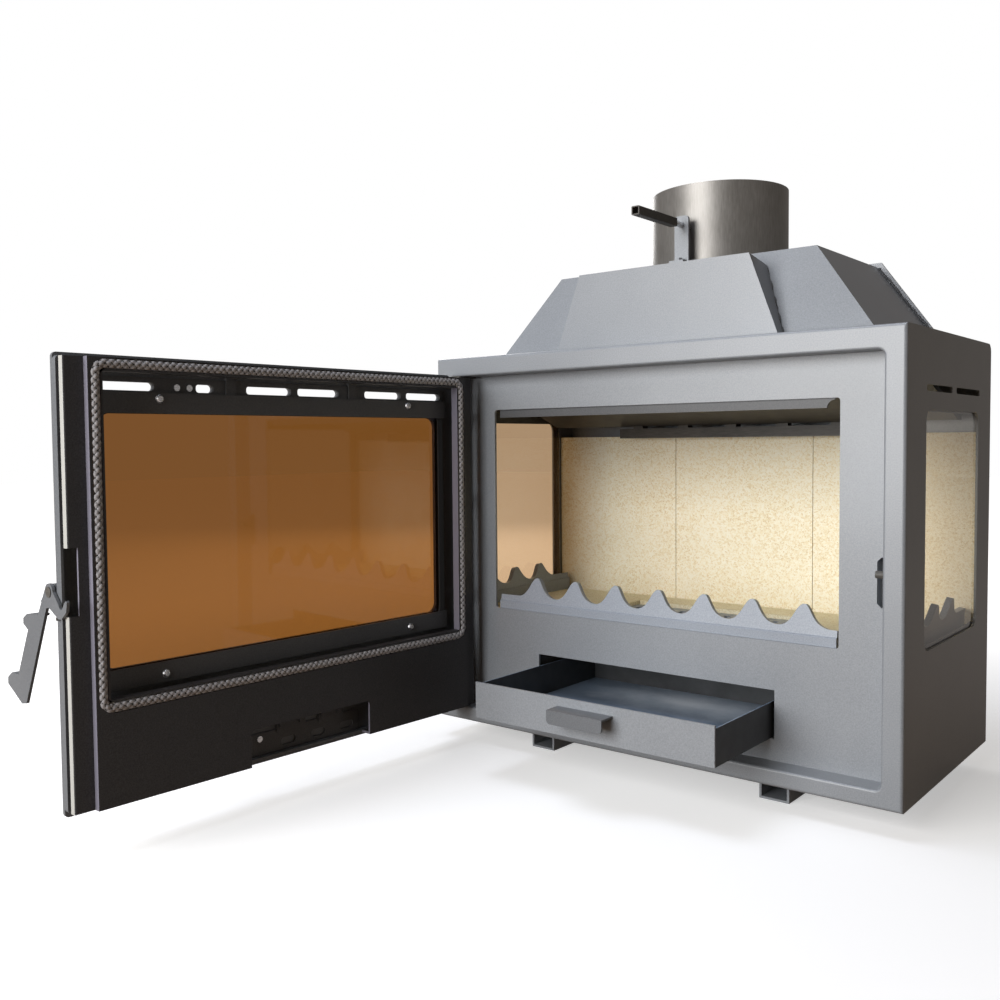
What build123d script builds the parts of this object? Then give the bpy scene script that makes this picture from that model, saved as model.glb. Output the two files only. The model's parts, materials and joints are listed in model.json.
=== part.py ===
"""Steel fireplace insert with a side-hinged glazed door, side windows, a flue hood and an ash drawer.

Frame: +X to the right of someone facing the door, +Y towards the back, +Z up. The origin is the middle
of the front frame's lower edge: X = 0 is the middle of the casing, Y = 0 its front face and Z = 0 its
underside, so the foot rails reach below zero. Lengths are in millimetres. The door and what it carries
are drawn shut, and place_door() swings them to the pose in which the insert is shown: door open,
drawer pulled out, lever resting on its stop.
"""
import math
import os

from build123d import *

# ---- casing -------------------------------------------------------------------------------------
casing_width = 705.0
casing_height = 560.0
casing_depth = 370.0
casing_sheet = 3.0
casing_corner = 12.0          # rounded rear top edge
foot_height = 32.0
foot_width = 40.0
foot_sheet = 3.0
foot_spacing = 364.0          # between the centres of the two rails
foot_setback = 40.0
frame_side = 25.0
frame_top = 28.0
frame_bottom = 22.0
frame_sheet = 4.0
frame_wrap = 6.0              # how far the frame's outer edge turns back
frame_radius = 4.0
frame_corner = 8.0            # rounded corners of the frame's opening
frame_roll = 3.0              # rolled front edge of the opening
recess_depth = 34.0
plate_sheet = 4.0

# ---- openings in the front plate ----------------------------------------------------------------
mouth_width = 531.0
mouth_bottom = 175.0
mouth_top = 480.0
mouth_radius = 4.0
drawer_port_top = 112.5
latch_slot_width = 17.0
latch_slot_bottom = 230.0
latch_slot_top = 290.0
latch_slot_chamfer = 5.0
latch_pocket_depth = 14.0     # closed pocket behind the slot
latch_pocket_wall = 2.0

# ---- side windows -------------------------------------------------------------------------------
window_front = 74.5
window_rear = 307.0
window_bottom = 174.5
window_top = 464.0
window_radius = 15.0
pane_lap = 12.0
pane_thickness = 4.0
pane_radius = 8.0
side_slot_height = 8.0
side_slot_bottom = 486.0
side_slot_spans = ((75.0, 182.0), (199.0, 311.0))
clip_width = 22.0
clip_sheet = 3.0
clip_overhang = 11.0          # how far a clip strip runs past the pane at each end
screw_radius = 2.0
screw_head_radius = 4.5
screw_head_height = 2.5

# ---- hood, collar and damper --------------------------------------------------------------------
hood_base_width = 585.0
hood_top_width = 402.0
hood_height = 122.0
hood_front_base = 86.0
hood_front_top = 123.0
hood_rear = 354.0
hood_sheet = 3.0
hood_back_lap = 6.0
hood_back_sheet = 4.0
cheek_base_width = 348.0
cheek_top_width = 264.0
cheek_height = 114.0
cheek_front = 69.0
cheek_fall = 11.5
collar_radius = 100.0
collar_sheet = 3.0
collar_height = 118.0
collar_gap = 0.5              # between the collar and the hood's back plate
rod_height = 56.0             # damper shaft above the top of the hood
rod_radius = 4.0
rod_tail = 9.0
sleeve_size = 12.0
sleeve_wall = 1.5
sleeve_front = 6.0
sleeve_length = 104.0
sleeve_lap = 20.0
disc_radius = 94.0
disc_thickness = 3.0
disc_hub_radius = 7.0
disc_hub_length = 120.0
bracket_width = 22.0
bracket_sheet = 4.0
bracket_gap = 16.5            # from the bracket to the collar
bracket_height = 69.0
bracket_foot = 16.0
bolt_radius = 3.0
bolt_head_across = 10.0
bolt_head_height = 4.0

# ---- firebox ------------------------------------------------------------------------------------
hearth_top = 167.0
hearth_thickness = 30.0
floor_sheet = 4.0
grate_width = 300.0
grate_depth = 164.0
grate_centre = 187.0
grate_thickness = 24.0
grate_lap = 10.0              # rim of the grate that rests on the floor plate
grate_slots = 15
grate_slot_width = 10.0
grate_bar = 9.0
brick_thickness = 30.0
brick_top = 438.0
brick_gap = 1.0
brick_back_gap = 7.0
hearth_half_width = 338.0
guard_thickness = 8.0
guard_gap = 3.0
guard_length = 522.0
guard_foot = 20.5             # height of the foot strip, above which the plate leans back
guard_foot_proud = 2.5
guard_foot_chamfer = 1.5
guard_lean = 10.0
guard_peak = 58.0             # above the hearth, before the lean
guard_trough = 29.0
guard_pitch = 68.9
guard_first_peak = 65.2       # from the guard's left end
guard_teeth = 7
guard_rise = 32.3             # from a trough to the next peak
side_guard_front = 58.0
side_guard_length = 262.0
side_guard_peak = 53.0
side_guard_teeth = 3
side_guard_first_peak = 48.0
ledge_width = 400.0
ledge_front = 290.0
ledge_top = 451.0
ledge_lip = 16.0
ledge_sheet = 3.0
baffle_width = 660.0
baffle_rear = 292.0
baffle_front = 122.0
baffle_rise = 62.0
baffle_thickness = 6.0
baffle_tab_width = 18.0
baffle_tab_height = 4.0
baffle_tabs = 5
baffle_tab_pitch = 83.0
baffle_bracket_x = 290.0
baffle_bracket_width = 12.0
baffle_bracket_depth = 14.0
deflector_width = 516.0
deflector_drop = 12.0
deflector_rise = 26.0
deflector_sheet = 3.0
deflector_end_radius = 10.0

# ---- ash drawer ---------------------------------------------------------------------------------
shelf_top = 50.0
shelf_sheet = 2.0
bay_wall = 2.0
bay_half_width = 186.0
slide_gap = 0.3
drawer_width = 359.0
drawer_port_gap = 5.0
drawer_height = 49.7
drawer_wall_height = 46.0
drawer_length = 300.0
drawer_sheet = 1.5
drawer_front_sheet = 3.0
drawer_shut = 60.0            # front face of the drawer when the door is shut
drawer_out = 181.0            # how far the drawer stands out in the pose shown
pull_width = 83.0
pull_reach = 26.0
pull_drop = 18.0
pull_sheet = 2.5
pull_below_rim = 11.5
pull_radius = 6.0

# ---- door: layers from the recessed plate outwards ----------------------------------------------
rope_radius = 5.5
rope_clearance = 0.4
rope_stand = 3.0              # the rope stands this far proud of its channel, less the clearance
step_height = 8.5
inner_edge = 8.0
inner_gap = 7.5
fascia_return = 15.0
fascia_sheet = 5.0
fascia_lap_bottom = 6.0       # how far the fascia laps over the front frame, below and above
fascia_lap_top = 4.0
fascia_lap_gap = 0.6          # between that lap and the frame's face
fascia_corner = 5.0
door_sheet = 3.0
door_gap = 2.5                # at the top, the bottom and the hinge side
pan_rise = 2.5                # from the fascia's folded edge to the inner frame, below and above
pan_drop = 1.5
free_gap = 6.5                # room for the latch lever at the free side
fascia_radius = 3.5
flange_width = 24.0
channel_width = 12.0
channel_wall = 2.5
rope_bottom = 139.0           # centre of the rope's lower run
rope_corner = 14.0
rope_margin = 7.0             # from the rope's upper run to the inner frame's top edge
skirt_sheet = 3.0
notch_left = -101.0
notch_right = 95.0
notch_top = 74.0
notch_radius = 6.0
glass_width = 537.0
glass_bottom = 174.5
glass_top = 467.5
glass_radius = 14.0
glass_lap = 12.0
glass_thickness = 4.0
gasket_thickness = 2.0
gasket_width = 10.0
retainer_width = 24.5
retainer_length = 566.0
retainer_sheet = 2.5
retainer_screw_x = 201.0
retainer_screw_shift = -5.0
retainer_screw_inset = 14.5
air_slot_length = 70.0
air_slot_height = 10.0
air_slot_bottom = 494.0
air_slot_pair = 80.7          # between the centres of the two slots of a pair
air_slot_pairs = (-203.0, -5.0, 194.0)
post_radius = 4.0
post_inset = 13.0
post_heights = (70.0, 200.0, 345.0, 470.0)
pin_cut_bottom = 245.0        # cut-out in the inner frame's edge for the keeper pin
pin_cut_top = 320.0
pin_cut_depth = 12.0

# ---- hinge, lever and keeper --------------------------------------------------------------------
hinge_inset = 11.0            # from the door's edge to the hinge axis
hinge_setback = 9.0           # from the door's face to the hinge axis
hinge_pin_radius = 4.0
running_gap = 0.08
hinge_boss_radius = 6.0
hinge_boss_length = 18.0
hinge_plate = 2.0
hinge_plate_width = 25.0
hinge_plate_front = 5.0
hinge_notch = 2.5             # the fascia's lap stops this far from the hinge plates
door_angle = 92.8             # how far the door stands open in the pose shown
lever_thickness = 3.5
lever_gap = 1.0
lever_stand = 7.0             # from the door's face to the lever's pivot
lever_height = 270.0
lever_angle = 26.5            # from latched to resting on its stop
lever_pin_radius = 4.0
lever_eye_radius = 9.5
lever_ear = 12.0              # how far the two bent ears reach back from the lever
lever_arm = 29.0
lever_length = 157.0
keeper_radius = 4.5
keeper_reach = 30.5           # from the lever's pivot to the keeper, latched
keeper_rise = 2.0
keeper_gap = 0.5
keeper_length = 12.0
lug_thickness = 6.0
lug_radius = 9.0
stop_radius = 2.0
stop_length = 4.0
stop_place = 27.0             # along the lever's neck

# ---- air sliders --------------------------------------------------------------------------------
slider_gap = 0.3
slider_sheet = 2.0
slider_height = 22.0
slider_end = 6.0
knob_slot_index = 4
knob_offset = 7.6             # from the middle of that slot to the middle of the knob
knob_stem_radius = 2.5
knob_stem_spacing = 17.0
knob_length = 34.0
knob_radius = 5.0
knob_stand = 9.0
tab_half = 18.0
strap_width = 14.0
strap_sheet = 2.0
strap_foot = 4.5
low_slot_length = 24.0
low_slot_height = 10.0
low_slot_bottom = 34.0
low_slot_pitch = 50.0
low_slot_middle = -10.0
low_slider_left = -108.0
low_slider_right = 92.0
low_slider_top = 57.0
low_knob_x = 61.0
low_knob_z = 50.0
low_travel = 25.0
low_strap_spans = ((-77.0, -35.0), (-12.0, 34.0))
low_strap_height = 10.5
low_strap_screw_inset = 7.0

# ---- places that several sub-parts share --------------------------------------------------------
half_width = casing_width / 2
inner_half = half_width - casing_sheet
plate_back = recess_depth + plate_sheet
plate_middle = (mouth_bottom + mouth_top) / 2
floor_top = hearth_top - hearth_thickness
back_inner = casing_depth - casing_sheet
brick_front = back_inner - brick_back_gap - brick_thickness
hood_top = casing_height + hood_height
collar_centre = hood_rear - collar_gap - collar_radius
collar_top = hood_top + collar_height
rod_z = hood_top + rod_height
bracket_y = collar_centre - collar_radius - bracket_gap - bracket_sheet

drawer_front_y = drawer_shut - drawer_out
drawer_bottom = shelf_top + slide_gap

plateau_y = recess_depth - rope_stand
flange_y = plateau_y - step_height
lip_y = flange_y - inner_edge
return_y = lip_y - inner_gap
face_y = return_y - fascia_return
fascia_back = face_y + fascia_sheet
glass_back = fascia_back + glass_thickness
retainer_front = glass_back + gasket_thickness
door_left = -half_width + frame_side + door_gap
door_right = half_width - frame_side - free_gap
door_bottom = frame_bottom + door_gap
door_top = casing_height - frame_top - door_gap
pan_bottom = door_bottom + pan_rise
pan_top = door_top - pan_drop
step_left = door_left + flange_width
step_right = door_right - flange_width
rope_left = step_left + door_sheet + channel_width / 2
rope_right = step_right - door_sheet - channel_width / 2
rope_top = pan_top - rope_margin
rope_y = recess_depth - rope_clearance - rope_radius
hinge_x = door_left + hinge_inset
hinge_y = face_y + hinge_setback
lever_y = face_y - lever_stand
lever_x = door_right + lever_gap
keeper_y = lever_y + keeper_reach
keeper_z = lever_height + keeper_rise
slider_y = fascia_back + slider_gap
slider_bottom = air_slot_bottom + air_slot_height / 2 - slider_height / 2
air_slots = [pair + side * air_slot_pair / 2 for pair in air_slot_pairs for side in (-1, 1)]
knob_x = air_slots[knob_slot_index] + knob_offset
low_slots = [low_slot_middle + step * low_slot_pitch for step in (-1, 0, 1)]


# ---- helpers ------------------------------------------------------------------------------------
def block(x, y, z):
    """A box given by its low and high X, Y and Z."""
    size = [high - low for low, high in (x, y, z)]
    middle = [(high + low) / 2 for low, high in (x, y, z)]
    return Pos(*middle) * Box(*size)


def panel(face, y_low, y_high):
    """A flat outline, drawn with X across and Z up, made solid from y_low to y_high."""
    plane = Plane(origin=(0, y_low, 0), x_dir=(1, 0, 0), z_dir=(0, -1, 0))
    return extrude(plane * face, amount=y_low - y_high)


def side_wall(face, x_low, x_high):
    """A flat outline, drawn with Y across and Z up, made solid from x_low to x_high."""
    return extrude(Plane.YZ.offset(x_low) * face, amount=x_high - x_low)


def rounded(low, high, radius):
    """A rounded rectangle from its lower left to its upper right corner."""
    width, height = high[0] - low[0], high[1] - low[1]
    return Pos((low[0] + high[0]) / 2, (low[1] + high[1]) / 2) * RectangleRounded(width, height, radius)


def outline(*points):
    """A filled polygon through the given points."""
    return make_face(Polyline(*points, close=True))


def rod_y(x, z, radius, y_low, y_high):
    """A round bar along Y."""
    return Pos(x, (y_low + y_high) / 2, z) * Rot(90, 0, 0) * Cylinder(radius, y_high - y_low)


def rod_x(y, z, radius, x_low, x_high):
    """A round bar along X."""
    return Pos((x_low + x_high) / 2, y, z) * Rot(0, 90, 0) * Cylinder(radius, x_high - x_low)


def rod_upright(x, y, radius, z_low, z_high):
    """A round bar along Z."""
    return Pos(x, y, (z_low + z_high) / 2) * Cylinder(radius, z_high - z_low)


def mirrored(shape):
    """The same piece on the other side of the casing's middle plane."""
    return mirror(shape, about=Plane.YZ)


def save(name, *pieces):
    """Write the pieces as one sub-part."""
    os.makedirs("parts", exist_ok=True)
    solids = [solid for piece in pieces for solid in piece.solids()]
    shape = solids[0] if len(solids) == 1 else Compound(solids)
    export_step(shape, "parts/" + name + ".step")


def swing(piece):
    """Turn a piece drawn on the shut door to the open pose."""
    axis = Axis((hinge_x, hinge_y, 0), (0, 0, 1))
    return piece.rotate(axis, -door_angle)


def place_door(name, *pieces):
    """Write pieces drawn on the shut door, at the open pose."""
    save(name, *[swing(piece) for piece in pieces])


# ---- casing -------------------------------------------------------------------------------------
def frame_opening(y_low, y_high):
    """The opening of the front frame as a solid block with rounded corners."""
    opening = rounded((-half_width + frame_side, frame_bottom), (half_width - frame_side, casing_height - frame_top),
                      frame_corner)
    return panel(opening, y_low, y_high)


def front_frame():
    outer = block((-half_width, half_width), (0, frame_wrap), (0, casing_height))
    front_edges = outer.edges().group_by(Axis.Y)[0]
    outer = fillet(front_edges, frame_radius)
    low, high = (-half_width + frame_side, frame_bottom), (half_width - frame_side, casing_height - frame_top)
    pocket = block((-half_width + frame_sheet, half_width - frame_sheet), (frame_sheet, frame_wrap),
                   (frame_sheet, casing_height - frame_sheet))
    around = rounded((low[0] - frame_sheet, low[1] - frame_sheet), (high[0] + frame_sheet, high[1] + frame_sheet),
                     frame_corner + frame_sheet)
    frame = outer - pocket + panel(around, 0, recess_depth) - frame_opening(-1, recess_depth + 1)
    rolled = [edge for edge in frame.edges() if abs(edge.center().Y) < 0.01
              and low[0] - 1 < edge.center().X < high[0] + 1 and low[1] - 1 < edge.center().Z < high[1] + 1]
    save("front_frame", fillet(rolled, frame_roll))


def front_plate():
    plate = Pos(0, casing_height / 2) * Rectangle(2 * inner_half, casing_height - 2 * casing_sheet)
    mouth = rounded((-mouth_width / 2, mouth_bottom), (mouth_width / 2, mouth_top), mouth_radius)
    port_half = drawer_width / 2 + drawer_port_gap
    port = Pos(0, (shelf_top + drawer_port_top) / 2) * Rectangle(2 * port_half, drawer_port_top - shelf_top)
    slot_right = half_width - frame_side
    slot_left = slot_right - latch_slot_width
    slot = outline((slot_left, latch_slot_bottom + latch_slot_chamfer),
                   (slot_left + latch_slot_chamfer, latch_slot_bottom), (slot_right, latch_slot_bottom),
                   (slot_right, latch_slot_top), (slot_left + latch_slot_chamfer, latch_slot_top),
                   (slot_left, latch_slot_top - latch_slot_chamfer))
    wall = latch_pocket_wall
    depths = (plate_back, plate_back + latch_pocket_depth)
    pocket = block((slot_left - wall, slot_right + wall), depths, (latch_slot_bottom - wall, latch_slot_top + wall))
    pocket -= block((slot_left, slot_right), (plate_back - 1, depths[1] - wall), (latch_slot_bottom, latch_slot_top))
    save("front_plate", panel(plate - mouth - port - slot, recess_depth, plate_back) + pocket)


def side_panels():
    face = outline((frame_wrap, 0), (casing_depth, 0), (casing_depth, casing_height), (frame_wrap, casing_height))
    top_rear = face.vertices().sort_by(lambda v: v.X + v.Y)[-1]
    face = fillet(top_rear, casing_corner)
    face -= rounded((window_front, window_bottom), (window_rear, window_top), window_radius)
    for start, end in side_slot_spans:
        face -= rounded((start, side_slot_bottom), (end, side_slot_bottom + side_slot_height), side_slot_height / 2.2)
    right = side_wall(face, inner_half, half_width)
    save("side_panel_right", right)
    save("side_panel_left", mirrored(right))


def top_and_back():
    bend_end = casing_height - casing_corner - casing_sheet
    shell = outline((frame_wrap, casing_height - casing_sheet), (frame_wrap, casing_height),
                    (casing_depth, casing_height), (casing_depth, bend_end), (back_inner, bend_end),
                    (back_inner, casing_height - casing_sheet))
    outer_corner = shell.vertices().sort_by(lambda v: v.X + v.Y)[-1]
    shell = fillet(outer_corner, casing_corner)
    inner_corner = [v for v in shell.vertices()
                    if abs(v.X - back_inner) < 0.01 and abs(v.Y - casing_height + casing_sheet) < 0.01]
    shell = fillet(inner_corner, casing_corner - casing_sheet)
    top = side_wall(shell, -inner_half, inner_half)
    port_half = hood_base_width / 2 - 2 * hood_sheet
    top -= block((-port_half, port_half), (hood_front_base + 2 * hood_sheet, hood_rear - 2 * hood_sheet),
                 (bend_end, casing_height + 1))
    save("top_panel", top)
    back = block((-inner_half, inner_half), (back_inner, casing_depth), (casing_sheet, bend_end))
    save("back_panel", back)
    save("bottom_panel", block((-inner_half, inner_half), (frame_wrap, casing_depth), (0, casing_sheet)))


def foot_rails():
    for name, side in (("foot_rail_left", -1), ("foot_rail_right", 1)):
        centre = side * foot_spacing / 2
        outer = block((centre - foot_width / 2, centre + foot_width / 2), (foot_setback, casing_depth - foot_setback),
                      (-foot_height, 0))
        hollow = block((centre - foot_width / 2 + foot_sheet, centre + foot_width / 2 - foot_sheet),
                       (foot_setback - 1, casing_depth - foot_setback + 1), (-foot_height + foot_sheet, 1))
        save(name, outer - hollow)


# ---- side windows -------------------------------------------------------------------------------
def side_windows():
    pane = rounded((window_front - pane_lap, window_bottom - pane_lap), (window_rear + pane_lap, window_top + pane_lap),
                   pane_radius)
    right = side_wall(pane, inner_half - pane_thickness, inner_half)
    save("side_glass_right", right)
    save("side_glass_left", mirrored(right))
    clip_right = inner_half - pane_thickness
    clip_left = clip_right - clip_sheet
    ends = (window_front - pane_lap - clip_overhang, window_rear + pane_lap + clip_overhang)
    rows = (window_bottom - clip_width + 2, window_top - 2)
    clips = []
    screws = []
    for low in rows:
        clip = block((clip_left, clip_right), ends, (low, low + clip_width))
        for y in (ends[0] + clip_overhang / 2, ends[1] - clip_overhang / 2):
            z = low + clip_width / 2
            clip -= rod_x(y, z, screw_radius, clip_left - 1, clip_right + 1)
            shank = rod_x(y, z, screw_radius, clip_left, inner_half)
            screws.append(shank + rod_x(y, z, screw_head_radius, clip_left - screw_head_height, clip_left))
        clips.append(clip)
    save("side_glass_retainers", *clips, *[mirrored(clip) for clip in clips])
    save("side_retainer_screws", *screws, *[mirrored(screw) for screw in screws])


# ---- hood, collar and damper --------------------------------------------------------------------
def hood_slope(z):
    """Y of the hood's front slope at a height."""
    share = (z - casing_height) / hood_height
    return hood_front_base + share * (hood_front_top - hood_front_base)


def hood_half(z):
    """Half the hood's width at a height."""
    share = (z - casing_height) / hood_height
    return (hood_base_width + share * (hood_top_width - hood_base_width)) / 2


def hood_section(z, inset_x, inset_y, inset_rear):
    """Level section of the hood at a height, drawn in by the given insets."""
    front = hood_slope(z) + inset_y
    rear = hood_rear - inset_rear
    return Pos(0, (front + rear) / 2, z) * Rectangle(2 * (hood_half(z) - inset_x), rear - front)


def hood():
    outer = loft([hood_section(casing_height, 0, 0, 0), hood_section(hood_top, 0, 0, 0)])
    side_run = (hood_base_width - hood_top_width) / 2 / hood_height
    front_run = (hood_front_top - hood_front_base) / hood_height
    inset_x = hood_sheet * math.hypot(1, side_run)
    inset_y = hood_sheet * math.hypot(1, front_run)
    roof = hood_top - hood_sheet
    inner = loft([hood_section(casing_height, inset_x, inset_y, hood_sheet),
                  hood_section(roof, inset_x, inset_y, hood_sheet)])
    bore = rod_upright(0, collar_centre, collar_radius - collar_sheet, roof - 1, hood_top + 1)
    save("hood_shell", outer - inner - bore)
    lap = hood_back_lap
    back = outline((-hood_base_width / 2 - lap, casing_height), (hood_base_width / 2 + lap, casing_height),
                   (hood_top_width / 2 + lap, hood_top + lap), (-hood_top_width / 2 - lap, hood_top + lap))
    save("hood_back_plate", panel(back, hood_rear, hood_rear + hood_back_sheet))


def cheek_solid(inset):
    """The hood's front box as a full wedge, drawn in by an inset on its front, sides and top."""
    base, top = cheek_base_width / 2 - inset, cheek_top_width / 2 - inset
    z_top = casing_height + cheek_height - inset
    front = outline((-base, casing_height), (base, casing_height), (top, z_top), (-top, z_top))
    wedge = panel(front, cheek_front + inset, hood_rear)
    meet_z = casing_height + cheek_height - cheek_fall
    meet_y = hood_slope(meet_z)
    profile = outline((cheek_front + inset, casing_height), (cheek_front + inset, z_top),
                      (meet_y, meet_z - inset), (hood_slope(casing_height), casing_height))
    return wedge & side_wall(profile, -half_width, half_width)


def hood_front_box():
    hollow = cheek_solid(hood_sheet)
    behind = loft([hood_section(casing_height, 0, 0, 0), hood_section(hood_top, 0, 0, 0)])
    save("hood_front_box", cheek_solid(0) - hollow - behind)


def flue_collar():
    tube = rod_upright(0, collar_centre, collar_radius, hood_top, collar_top)
    tube -= rod_upright(0, collar_centre, collar_radius - collar_sheet, hood_top - 1, collar_top + 1)
    tube -= rod_y(0, rod_z, rod_radius + running_gap, 0, casing_depth)
    save("flue_collar", tube)


def damper():
    rear = collar_centre + collar_radius + rod_tail
    sleeve_rear = sleeve_front + sleeve_length
    bore_half = sleeve_size / 2 - sleeve_wall
    tenon = block((-bore_half, bore_half), (sleeve_rear - sleeve_lap, sleeve_rear), (rod_z - bore_half, rod_z + bore_half))
    save("damper_rod", tenon + rod_y(0, rod_z, rod_radius, sleeve_rear, rear))
    outer_half = sleeve_size / 2
    sleeve = block((-outer_half, outer_half), (sleeve_front, sleeve_rear), (rod_z - outer_half, rod_z + outer_half))
    sleeve = fillet(sleeve.edges().filter_by(Axis.Y), sleeve_wall)
    sleeve -= block((-bore_half, bore_half), (sleeve_front - 1, sleeve_rear + 1), (rod_z - bore_half, rod_z + bore_half))
    save("damper_sleeve", sleeve)
    disc = Pos(0, collar_centre, rod_z) * Cylinder(disc_radius, disc_thickness)
    hub = rod_y(0, rod_z, disc_hub_radius, collar_centre - disc_hub_length / 2, collar_centre + disc_hub_length / 2)
    save("damper_disc", disc + hub - rod_y(0, rod_z, rod_radius, 0, casing_depth))


def damper_bracket():
    upright_half = bracket_width / 2
    strip = block((-upright_half, upright_half), (bracket_y, bracket_y + bracket_sheet),
                  (hood_top, hood_top + bracket_height))
    strip = fillet(strip.edges().filter_by(Axis.Y).group_by(Axis.Z)[-1], upright_half / 2)
    foot = block((-upright_half, upright_half), (bracket_y - bracket_foot, bracket_y), (hood_top, hood_top + bracket_sheet))
    bolt_y = bracket_y - bracket_foot / 2
    bracket = strip + foot - rod_y(0, rod_z, rod_radius + running_gap, 0, collar_centre)
    bracket -= rod_upright(0, bolt_y, bolt_radius, hood_top - 1, hood_top + bracket_sheet + 1)
    save("damper_bracket", bracket)
    head_low = hood_top + bracket_sheet
    head = Pos(0, bolt_y, head_low) * extrude(RegularPolygon(bolt_head_across / 2, 6, major_radius=False), bolt_head_height)
    save("damper_bracket_bolt", head + rod_upright(0, bolt_y, bolt_radius, hood_top, head_low))


# ---- firebox ------------------------------------------------------------------------------------
def firebox_floor():
    plate = block((-inner_half, inner_half), (plate_back, back_inner), (floor_top - floor_sheet, floor_top))
    port_x, port_y = grate_width / 2 - grate_lap, grate_depth / 2 - grate_lap
    port = block((-port_x, port_x), (grate_centre - port_y, grate_centre + port_y), (floor_top - floor_sheet - 1, floor_top + 1))
    save("firebox_floor", plate - port)


def hearth():
    rim = grate_width / 2 + brick_gap
    heights = (floor_top, hearth_top)
    front = plate_back + brick_gap
    rear = brick_front - brick_gap
    right = block((rim, hearth_half_width), (front, rear), heights)
    save("hearth_brick_right", right)
    save("hearth_brick_left", mirrored(right))
    middle = rim - brick_gap
    grate_half = grate_depth / 2 + brick_gap
    near = block((-middle, middle), (front, grate_centre - grate_half), heights)
    far = block((-middle, middle), (grate_centre + grate_half, rear), heights)
    save("hearth_bricks_middle", near, far)


def fire_grate():
    face = Pos(0, grate_centre) * RectangleRounded(grate_width, grate_depth, 6)
    pitch = grate_slot_width + grate_bar
    slot_length = grate_depth - 4 * grate_lap
    for index in range(grate_slots):
        x = (index - (grate_slots - 1) / 2) * pitch
        face -= Pos(x, grate_centre) * SlotOverall(slot_length, grate_slot_width, rotation=90)
    save("fire_grate", Pos(0, 0, floor_top) * extrude(face, grate_thickness))


def back_bricks():
    span = 2 * (inner_half - brick_gap)
    width = (span - 2 * brick_gap) / 3
    for index, name in enumerate(("back_brick_left", "back_brick_centre", "back_brick_right")):
        low = -span / 2 + index * (width + brick_gap)
        save(name, block((low, low + width), (brick_front, brick_front + brick_thickness), (floor_top, brick_top)))


def horned_guard(length, peak, first_peak, teeth):
    """A guard that starts at X = 0, with the front of its foot at Y = 0: the foot is a strip with a chamfered top, and
    the horned plate behind it leans back from there. Each horn is steeper on its right side."""
    z_peak, z_trough, fold = hearth_top + peak, hearth_top + guard_trough, hearth_top + guard_foot
    fall = guard_pitch - guard_rise
    start = first_peak - guard_rise
    edges = [Line((0, hearth_top), (0, z_trough)), Line((0, z_trough), (start, z_trough))]
    for tooth in range(teeth):
        left, top = start + tooth * guard_pitch, first_peak + tooth * guard_pitch
        right = top + fall
        edges.append(Bezier((left, z_trough), (left + 0.6 * guard_rise, z_trough), (top - 12, z_peak), (top, z_peak)))
        edges.append(Bezier((top, z_peak), (top + 9, z_peak), (top + 10, z_trough), (right, z_trough)))
    edges += [Line((right, z_trough), (length, z_trough)), Line((length, z_trough), (length, hearth_top)),
              Line((length, hearth_top), (0, hearth_top))]
    front, back = guard_foot_proud, guard_foot_proud + guard_thickness
    plate = panel(make_face(edges), front, back)
    above = block((-1, length + 1), (front - 1, back + 1), (fold, z_peak + 1))
    horns = (plate & above).rotate(Axis((0, front, fold), (1, 0, 0)), -guard_lean)
    strip = outline((0, hearth_top), (0, fold - guard_foot_chamfer), (guard_foot_chamfer, fold), (front, fold),
                    (front, hearth_top))
    return (plate - above) + horns + side_wall(strip, 0, length)


def log_guards():
    front = horned_guard(guard_length, guard_peak, guard_first_peak, guard_teeth)
    save("log_guard_front", Pos(-guard_length / 2, plate_back + slide_gap, 0) * front)
    side = horned_guard(side_guard_length, side_guard_peak, side_guard_first_peak, side_guard_teeth)
    inner = hearth_half_width - guard_gap - guard_thickness - guard_foot_proud
    left = Pos(-inner, side_guard_front, 0) * Rot(0, 0, 90) * side
    save("log_guard_left", left)
    save("log_guard_right", mirrored(left))


def baffle():
    ledge_low = ledge_top - ledge_sheet
    half = ledge_width / 2
    shelf = block((-half, half), (ledge_front, back_inner), (ledge_low, ledge_top))
    lip = block((-half, half), (ledge_front, ledge_front + ledge_sheet), (ledge_top - ledge_lip, ledge_top))
    save("baffle_ledge", shelf + lip)
    rest = ledge_top + baffle_tab_height
    run = baffle_rear - baffle_front
    profile = outline((baffle_rear, rest), (baffle_front, rest + baffle_rise),
                      (baffle_front, rest + baffle_rise + baffle_thickness), (baffle_rear + 20, rest + baffle_thickness),
                      (baffle_rear + 20, rest))
    plate = side_wall(profile, -baffle_width / 2, baffle_width / 2)
    for index in range(baffle_tabs):
        x = (index - (baffle_tabs - 1) / 2) * baffle_tab_pitch
        plate += block((x - baffle_tab_width / 2, x + baffle_tab_width / 2), (baffle_rear, baffle_rear + 16),
                       (ledge_top, rest))
    save("baffle_plate", plate)
    under = baffle_front + 20
    under_z = rest + baffle_rise * (baffle_rear - under) / run
    high = rest + baffle_rise
    arm = outline((plate_back, high - baffle_bracket_depth), (plate_back, high), (baffle_front, high),
                  (under, under_z), (under, under_z - 5))
    right = side_wall(arm, baffle_bracket_x, baffle_bracket_x + baffle_bracket_width)
    save("baffle_brackets", right, mirrored(right))


def air_wash_deflector():
    half = deflector_width / 2
    low, high = mouth_top - deflector_drop, mouth_top + deflector_rise
    face = outline((-half, low), (half, low), (half, high), (-half, high))
    face -= Pos(half, low) * Circle(deflector_end_radius)
    save("air_wash_deflector", panel(face, plate_back, plate_back + deflector_sheet))


# ---- ash bay and drawer -------------------------------------------------------------------------
def ash_bay():
    shelf = block((-bay_half_width, bay_half_width), (plate_back, back_inner), (shelf_top - shelf_sheet, shelf_top))
    wall = block((bay_half_width, bay_half_width + bay_wall), (plate_back, back_inner),
                 (casing_sheet, floor_top - floor_sheet))
    save("ash_bay", shelf + wall + mirrored(wall))


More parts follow.
